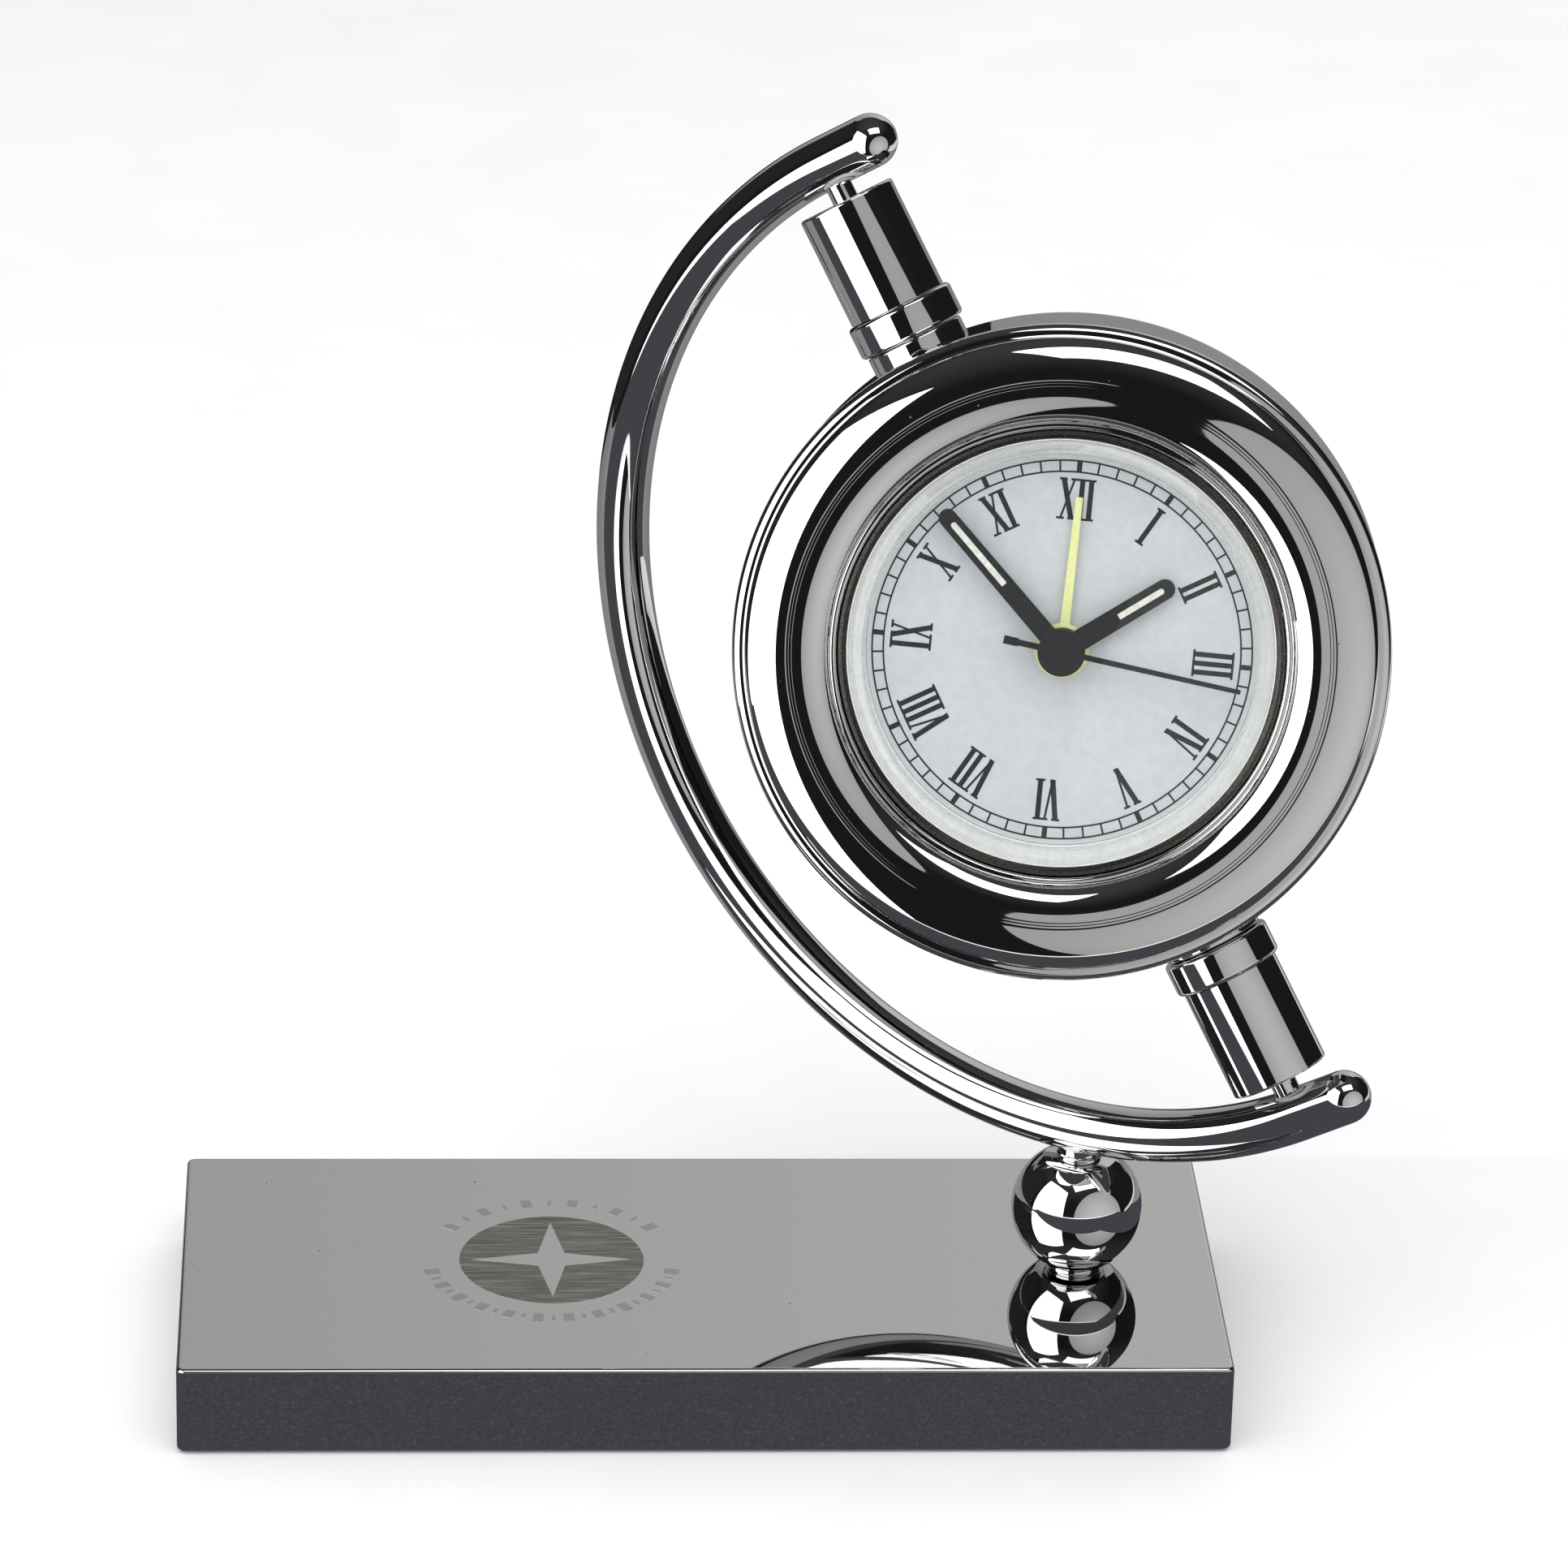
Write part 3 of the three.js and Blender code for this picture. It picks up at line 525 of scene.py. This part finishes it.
# Posts, from the head's centre outwards: each is (low, high, radius)
postSize = {"seat": (37.0, 41.3, 6.2), "collar": (41.4, 45.6, 6.8), "sleeve": (45.7, 59.9, 6.15), "bore": 2.3,
            "bush": 3.2, "bushDepth": 5.2, "bushBore": 1.77, "bushGap": 0.1}


def makePosts():
    s = postSize
    for side, name in ((1, "upper"), (-1, "lower")):
        place = headFrame @ turnMatrix(-90 if side > 0 else 90, "X")
        low, high, radius = s["seat"]
        profile = [(s["bore"], low), (radius, low), (radius, high, 0.3), (s["bore"], high)]
        finishPiece(turnedShape(profile, 120), name + "PostSeat", place, "head", "chromePlate",
                    [name + "_post_seat"])
        low, high, radius = s["collar"]
        profile = [(s["bore"], low), (radius, low, 0.55), (radius, high, 0.55), (s["bore"], high)]
        finishPiece(turnedShape(profile, 120), name + "PostCollar", place, "head", "chromePlate",
                    [name + "_post_collar"])
        low, high, radius = s["sleeve"]
        bushFrom = high - s["bushDepth"]
        profile = [(s["bore"], low), (radius, low), (radius, high, 0.35), (s["bush"], high, 0.12),
                   (s["bush"], bushFrom), (s["bore"], bushFrom)]
        finishPiece(turnedShape(profile, 120), name + "PostSleeve", place, "head", "chromePlate",
                    [name + "_post_sleeve"])
        bushOut, bushLow, bushHigh = s["bush"] - s["bushGap"], bushFrom + s["bushGap"], high - 0.2
        profile = [(s["bushBore"], bushLow), (bushOut, bushLow), (bushOut, bushHigh, 0.1),
                   (s["bushBore"], bushHigh)]
        finishPiece(turnedShape(profile, 72), name + "PostBush", place, "head", "whiteNylon",
                    [name + "_bush"])
    print("posts are made")


makePosts()


# Clock insert, heights from its own seat: window, liner, ring and dial
insertSize = {"window": 23.9, "wall": 25.6, "base": 4.5, "shoulder": 8.8, "top": 10.2, "flange": 26.6,
              "dial": 23.6, "dialBore": 3.0, "dialThick": 0.5, "dialFace": 4.2, "dialSeat": (3.65, 4.42),
              "liner": (0.04, 0.18, 6.1, 9.35), "ringOut": 26.86}


def makeWindow():
    s = insertSize
    profile = [(0, s["shoulder"]), (s["window"] - 0.4, s["shoulder"]), (s["window"], s["shoulder"] - 0.4),
               (s["window"], s["base"]), (s["flange"], s["base"]), (s["flange"], s["base"] + 1.4),
               (s["wall"], s["base"] + 1.4), (s["wall"], s["top"] - 0.8, 0.3),
               (s["window"] + 0.3, s["top"], 0.3), (0, s["top"])]
    finishPiece(turnedShape(profile, 192, closed=False), "clearWindow", dialFrame, "head", "clearAcrylic",
                ["lens"])
    near, far, low, high = s["liner"]  # two gaps from the wall, and two heights
    profile = [(s["wall"] + near, low), (s["wall"] + far, low), (s["wall"] + far, high),
               (s["wall"] + near, high)]
    finishPiece(turnedShape(profile, 192), "windowLiner", dialFrame, "head", "whiteNylon")
    profile = [(s["wall"] + 0.2, s["base"] + 1.7), (s["ringOut"], s["base"] + 1.7), (s["ringOut"], 9.9, 0.2),
               (26.3, 9.95), (s["wall"] + 0.2, 9.5, 0.12)]
    finishPiece(turnedShape(profile, 192), "windowRing", dialFrame, "head", "scuffedRing",
                ["insert_gasket"])
    low, high = s["dialSeat"]
    profile = [(s["dial"] + 0.05, low), (s["flange"], low), (s["flange"], high), (s["dial"] + 0.05, high)]
    finishPiece(turnedShape(profile, 192), "dialSeatRing", dialFrame, "head", "whiteNylon")
    under = s["dialFace"] - s["dialThick"]
    profile = [(s["dialBore"], under), (s["dial"], under), (s["dial"], s["dialFace"]),
               (s["dialBore"], s["dialFace"])]
    finishPiece(turnedShape(profile, 192), "dialPlate", dialFrame, "head", "dialWhite",
                ["dial"])
    print("window and dial are made")


makeWindow()

# Screen print, in millimetres: a railway minute track and condensed Roman hours
printSize = {"height": 0.02, "outer": 23.0, "inner": 21.65, "line": 0.21, "tick": 0.23, "fiveTick": 0.62,
             "numeralInner": 15.75, "numeralOuter": 20.75, "thick": 0.62, "thin": 0.27, "serif": 0.28,
             "advance": {"I": 1.08, "V": 2.05, "X": 2.2}}


def bar(bm, place, start, end, width):
    # a flat bar from one point to another, sheared so that its ends stay level
    low = insertSize["dialFace"]
    rise = end[1] - start[1]
    lean = (end[0] - start[0]) / rise if rise else 0
    shear = Matrix(((1, lean, 0, 0), (0, 1, 0, 0), (0, 0, 1, 0), (0, 0, 0, 1)))
    middle = ((start[0] + end[0]) / 2, (start[1] + end[1]) / 2, low + printSize["height"] / 2)
    bmesh.ops.create_cube(bm, size=1, matrix=place @ Matrix.Translation(middle) @ shear
                          @ Matrix.Diagonal((width, rise, printSize["height"], 1)))


def drawNumeral(bm, place, numeral):
    s = printSize
    low, high = s["numeralInner"], s["numeralOuter"]
    advance = s["advance"]
    width = sum(advance[letter] for letter in numeral)
    at = -width / 2
    for letter in numeral:
        step = advance[letter]
        middle = at + step / 2
        if letter == "I":
            bar(bm, place, (middle, low), (middle, high), s["thick"])
            for y in (low, high - s["serif"]):
                bar(bm, place, (middle, y), (middle, y + s["serif"]), 1.12)
        if letter == "V":
            bar(bm, place, (middle + 0.12, low), (middle - 0.62, high), s["thick"] * 1.05)
            bar(bm, place, (middle + 0.12, low), (middle + 0.72, high), s["thin"])
            for x in (-0.62, 0.72):
                bar(bm, place, (middle + x, high - s["serif"]), (middle + x, high), 1.0 if x < 0 else 0.8)
        if letter == "X":
            bar(bm, place, (middle + 0.66, low), (middle - 0.66, high), s["thick"] * 1.05)
            bar(bm, place, (middle - 0.7, low), (middle + 0.7, high), s["thin"])
            for x, y in ((0.66, low), (-0.66, high - s["serif"]), (-0.7, low), (0.7, high - s["serif"])):
                bar(bm, place, (middle + x, y), (middle + x, y + s["serif"]), 0.95)
        at += step


def makeDialPrint():
    s = printSize
    low, high = insertSize["dialFace"], insertSize["dialFace"] + s["height"]
    for name, radius in (("trackOuterLine", s["outer"]), ("trackInnerLine", s["inner"])):
        profile = [(radius - s["line"], low), (radius, low), (radius, high), (radius - s["line"], high)]
        finishPiece(turnedShape(profile, 192), name, dialFrame, "head", "dialInk")
    bm = bmesh.new()
    middle, length = (s["outer"] + s["inner"] - s["line"]) / 2, s["outer"] - s["inner"]
    for minute in range(60):
        width = s["fiveTick"] if minute % 5 == 0 else s["tick"]
        bmesh.ops.create_cube(bm, size=1, matrix=turnMatrix(-6 * minute, "Z") @ Matrix.Translation(
            (0, middle, low + s["height"] * 0.49)) @ Matrix.Diagonal((width, length, s["height"] * 0.98, 1)))
    finishPiece(bm, "trackTicks", dialFrame, "head", "dialInk", weighted=False)
    bm = bmesh.new()
    hours = ["XII", "I", "II", "III", "IV", "V", "VI", "VII", "VIII", "IX", "X", "XI"]
    for hour, numeral in enumerate(hours):
        drawNumeral(bm, turnMatrix(-30 * hour, "Z"), numeral)
    finishPiece(bm, "romanNumerals", dialFrame, "head", "dialInk", weighted=False)
    print("dial print is made")


makeDialPrint()

# Hands: each sits where its node has it, turned clockwise from XII
handSize = {
    "alarm": {"body": "alarm", "angle": 1.1, "z": 4.9, "hub": 3.3, "bore": 2.8, "tip": 18.6, "width": 1.15,
              "tipWidth": 0.85, "finish": "limeLacquer", "slot": "hand_lime", "round": 0.05},
    "hour": {"body": "hours", "angle": 53.5, "z": 5.6, "hub": 2.6, "bore": 2.0, "tip": 15.7, "width": 2.6,
             "tipWidth": 2.45, "finish": "blackLacquer", "slot": "hand_black", "round": 1.2,
             "inlay": (8.0, 14.3, 0.72)},
    "minute": {"body": "minutes", "angle": -45.8, "z": 6.3, "hub": 2.3, "bore": 1.3, "tip": 22.2,
               "width": 2.35, "tipWidth": 2.2, "finish": "blackLacquer", "slot": "hand_black",
               "round": 1.08, "inlay": (10.6, 20.3, 0.72)},
    "second": {"body": "seconds", "angle": 97.2, "z": 7.0, "hub": 1.7, "bore": 0.55, "tip": 22.0,
               "width": 0.7, "tipWidth": 0.56, "finish": "blackLacquer", "slot": "hand_black",
               "round": 0.05, "tail": 7.1},
}
handThickness = 0.28
hubCapShape = [(0, 7.36), (2.85, 7.36, 0.05), (2.85, 8.55, 0.16), (2.2, 8.55), (0, 8.6)]


def tongue(bm, widthLow, widthHigh, low, high, rounding, z, thickness):
    # a flat blade along Y with a rounded far end
    middle = Matrix.Translation((0, (low + high) / 2, z + thickness / 2))
    made = bmesh.ops.create_cube(bm, size=1,
                                 matrix=middle @ Matrix.Diagonal((widthLow, high - low, thickness, 1)))
    verts = made["verts"]
    for vert in verts:
        if vert.co.y > (low + high) / 2:
            vert.co.x *= widthHigh / widthLow
    far = [e for e in bm.edges if all(v in verts and v.co.y > high - 0.001 for v in e.verts)
           and abs(e.verts[0].co.z - e.verts[1].co.z) > thickness / 2]
    bmesh.ops.bevel(bm, geom=far, offset=rounding, offset_type="OFFSET", segments=10, profile=0.5,
                    affect="EDGES", material=-1)


def makeHands():
    for name, s in handSize.items():
        place = dialFrame @ turnMatrix(-s["angle"], "Z")
        z = s["z"]
        ring = [(s["bore"], z), (s["hub"], z, 0.05), (s["hub"], z + handThickness, 0.05),
                (s["bore"], z + handThickness)]
        bm = turnedShape(ring, 72)
        tongue(bm, s["width"], s["tipWidth"], s["bore"] + 0.3, s["tip"], s["round"], z + 0.01,
               handThickness - 0.02)
        if "tail" in s:
            bmesh.ops.create_cube(bm, size=1, matrix=Matrix.Translation((0, -s["tail"] + 0.9, z + 0.14))
                                  @ Matrix.Diagonal((1.0, 1.8, handThickness, 1)))
            bmesh.ops.create_cube(bm, size=1, matrix=Matrix.Translation((0, -(s["tail"] + 0.9) / 2, z + 0.14))
                                  @ Matrix.Diagonal((0.74, s["tail"] - 1.6, 0.25, 1)))
        finishPiece(bm, name + "Hand", place, s["body"], s["finish"], [name + "_hand"],
                    weighted=False)
        if "inlay" in s:
            low, high, width = s["inlay"]
            bm = bmesh.new()
            tongue(bm, width, width, low, high, width / 2 * 0.95, z + handThickness - 0.02, 0.06)
            finishPiece(bm, name + "HandInlay", place, s["body"], "luminousPaint",
                        weighted=False)
    finishPiece(turnedShape(hubCapShape, 96, closed=False), "hubCap", dialFrame, "seconds", "blackLacquer",
                ["hub_cap"])
    print("hands are made")


makeHands()


# Studio: a pale floor, soft lights, and cards and panels that only the polished metal sees.
# Its sizes are in metres.
studio = {
    "floorSize": 6.0,
    "centre": (0.045, 0.0, 0.03),
    "tent": 0.012,
    "tentRadius": 3.0,
    "room": (0.99, 0.992, 1.0, 1),
    "roomStrength": 1.08,
    "cardSpan": (-0.36, 0.28),
    "cardRows": [(0.052, 0.0003), (-0.03, 0.0003), (-0.045, 0.0042), (-0.06, 0.0118), (-0.0745, 0.0208),
                 (-0.086, 0.0275)],
    "cardEdge": [(-0.086, 0.0275), (-0.087, 0.0300)],
    "lights": (("leftKey", -50, 38, 0.9, 0.7, 1.6), ("topKey", 20, 66, 0.9, 0.6, 1.6),
               ("rightFill", 50, 25, 0.9, 0.9, 0.8)),  # name, azimuth, elevation, distance, size, power
}


def stageObject(name, mesh, material, onlyGloss=True):
    mesh.materials.append(material)
    item = bpy.data.objects.new(name, mesh)
    bpy.context.scene.collection.objects.link(item)
    if onlyGloss:
        item.visible_camera = item.visible_diffuse = item.visible_transmission = False
        item.visible_shadow = item.visible_volume_scatter = False
    return item


def glowMaterial(name, low, high, axis="X", span=(-0.5, 0.5)):
    # brightness graded along one axis of the item's own place, from one value to the other
    material, tree, place = startMaterial(name)
    split = addNode(tree, "SeparateXYZ", {}, {0: place})
    share = addNode(tree, "MapRange",
                    {"From Min": span[0], "From Max": span[1], "To Min": low, "To Max": high},
                    {"Value": split.outputs[axis]})
    glow = addNode(tree, "Emission", {"Color": (1, 0.995, 0.985, 1)}, {"Strength": share.outputs[0]})
    endMaterial(tree, glow.outputs[0])
    return material


def roundGlow(name, middle, rim, reach):
    # brightness falling softly from the middle to the rim of a round cloth
    material, tree, place = startMaterial(name)
    away = addNode(tree, "VectorMath", {"operation": "LENGTH"}, {0: place})
    share = addNode(tree, "MapRange", {"interpolation_type": "SMOOTHSTEP", "From Min": 0.0, "From Max": reach,
                                       "To Min": middle, "To Max": rim}, {"Value": away.outputs["Value"]})
    glow = addNode(tree, "Emission", {"Color": (1, 0.995, 0.985, 1)}, {"Strength": share.outputs[0]})
    endMaterial(tree, glow.outputs[0])
    return material


def makeStrip(name, rows, span, material):
    # a strip along X through rows of (y, z), with its faces between them
    bm = bmesh.new()
    lines = [[bm.verts.new((x, y, z)) for x in span] for y, z in rows]
    for a, b in zip(lines, lines[1:]):
        bm.faces.new((a[0], a[1], b[1], b[0]))
    mesh = bpy.data.meshes.new(name)
    bm.to_mesh(mesh)
    bm.free()
    stageObject(name, mesh, material)


def awayFrom(azimuth, elevation):
    # direction from the clock: azimuth 0 is in front, 90 to the right
    a, e = math.radians(azimuth), math.radians(elevation)
    return Vector((math.sin(a) * math.cos(e), -math.cos(a) * math.cos(e), math.sin(e)))


def makePanel(name, azimuth, elevation, distance, size, material, rounded=False, lift=0.0, upright=False):
    # a panel that faces the clock, or stands straight up
    away = awayFrom(azimuth, elevation)
    face = awayFrom(azimuth, 0) if upright else away
    turned = face.to_track_quat("Z", "Y").to_matrix().to_4x4()
    bm = bmesh.new()
    if rounded:
        bmesh.ops.create_circle(bm, cap_ends=True, radius=0.5, segments=96)
    else:
        bmesh.ops.create_grid(bm, x_segments=1, y_segments=1, size=0.5)
    bmesh.ops.scale(bm, verts=bm.verts, vec=(size[0], size[1], 1))
    mesh = bpy.data.meshes.new(name)
    bm.to_mesh(mesh)
    bm.free()
    item = stageObject(name, mesh, material)
    middle = Vector(studio["centre"]) + away * distance + Vector((0, 0, lift))
    item.matrix_world = Matrix.Translation(middle) @ turned


def makeStudio():
    s = studio
    bm = bmesh.new()
    bmesh.ops.create_grid(bm, x_segments=1, y_segments=1, size=s["floorSize"])
    mesh = bpy.data.meshes.new("studioFloor")
    bm.to_mesh(mesh)
    bm.free()
    material, tree, place = startMaterial("paleStudioBoard")
    noise = addNode(tree, "TexNoise", {"Scale": 40.0, "Detail": 2.0}, {"Vector": place})
    tone = rampNode(tree, noise.outputs["Fac"], [(0.3, "#f3f3f4"), (0.7, "#f6f6f7")])
    shader = addNode(tree, "BsdfPrincipled", {"Roughness": 0.3, "IOR": 1.6}, {"Base Color": tone.outputs[0]})
    endMaterial(tree, shader.outputs[0])
    floor = stageObject("studioFloor", mesh, material, onlyGloss=False)
    floor.visible_glossy = False

    # dark tent round everything, seen by polished metal only
    bm = bmesh.new()
    bmesh.ops.create_uvsphere(bm, u_segments=48, v_segments=24, radius=s["tentRadius"])
    mesh = bpy.data.meshes.new("darkTent")
    bm.to_mesh(mesh)
    bm.free()
    drape = glowMaterial("blackVelvetDrape", s["tent"], s["tent"] * 4.5, "Z", (1.6, 3.0))
    stageObject("darkTent", mesh, drape)

    # slate card under the clock, with a short fibre about 0.5 mm long; its front edge curls up. The card is
    # painted light: a glow in its slate tones stands in for the lit card, and the curled edge is a bright
    # white glow
    material, tree, place = startMaterial("slateFibreCard")
    noise = addNode(tree, "TexNoise", {"Scale": 1 / 0.0005, "Detail": 4.0, "Roughness": 0.7},
                    {"Vector": place})
    tone = rampNode(tree, noise.outputs["Fac"], [(0.3, "#3d3d42"), (0.55, "#47474d"), (0.78, "#5c5c63")])
    glow = addNode(tree, "Emission", {"Strength": 1.12}, {"Color": tone.outputs[0]})
    endMaterial(tree, glow.outputs[0])
    makeStrip("slateCard", s["cardRows"], s["cardSpan"], material)
    makeStrip("cardEdge", s["cardEdge"], s["cardSpan"], glowMaterial("whiteCardEdge", 1.3, 1.3))
    # white paper seen past the card, to the right and behind, painted as glows: lit to the right and dimming
    # further out, and in painted shade behind, a dim grey glow dimming further back
    makeStrip("paperRight", [(0.5, -0.001), (-0.03, -0.001)], (0.28, 0.62),
              glowMaterial("whitePaperTable", 0.9, 0.6, "X", (0.28, 0.62)))
    # the paper behind is white paper in painted shade, drawn as a dim grey glow
    makeStrip("paperBehind", [(0.3, -0.001), (0.052, -0.001)], s["cardSpan"],
              glowMaterial("shadedWhitePaperGlow", 0.32, 0.22, "Y", (0.05, 0.3)))

    white = glowMaterial("softboxCloth", 2.6, 2.6)
    makePanel("leftSoftbox", -58, 0, 0.36, (0.4, 0.6), white, lift=0.13, upright=True)
    makePanel("topSoftbox", 20, 65, 0.9, (0.62, 0.34), white)
    makePanel("roundReflector", 33, 1, 0.42, (0.78, 0.8), roundGlow("greyReflectorCloth", 0.66, 0.4, 0.5),
              rounded=True)
    makePanel("backdrop", 180, 0, 0.9, (1.3, 0.94),
              glowMaterial("greyBackdropPaper", 0.6, 0.34, "X", (-0.35, 0.35)), lift=0.58, upright=True)
    makePanel("backdropFoot", 157, 0, 0.95, (0.7, 0.62), glowMaterial("greyBackdropFoot", 0.26, 0.26, "X"),
              lift=-0.17, upright=True)
    makePanel("leftFlag", -122, 12, 0.9, (0.9, 0.75), glowMaterial("charcoalFlag", 0.022, 0.022))

    world = bpy.data.worlds.new("paleRoom")
    world.use_nodes = True
    background = world.node_tree.nodes["Background"]
    background.inputs["Color"].default_value = s["room"]
    background.inputs["Strength"].default_value = s["roomStrength"]
    bpy.context.scene.world = world
    for name, azimuth, elevation, distance, size, power in s["lights"]:
        away = awayFrom(azimuth, elevation)
        light = bpy.data.objects.new(name, bpy.data.lights.new(name, "AREA"))
        light.data.size, light.data.energy = size, power
        light.matrix_world = Matrix.Translation(Vector(s["centre"]) + away * distance) @ away.to_track_quat(
            "Z", "Y").to_matrix().to_4x4()
        light.visible_glossy = light.visible_camera = light.visible_transmission = False
        bpy.context.scene.collection.objects.link(light)
    bpy.context.scene.view_settings.view_transform = "Standard"
    print("studio is lit")


makeStudio()
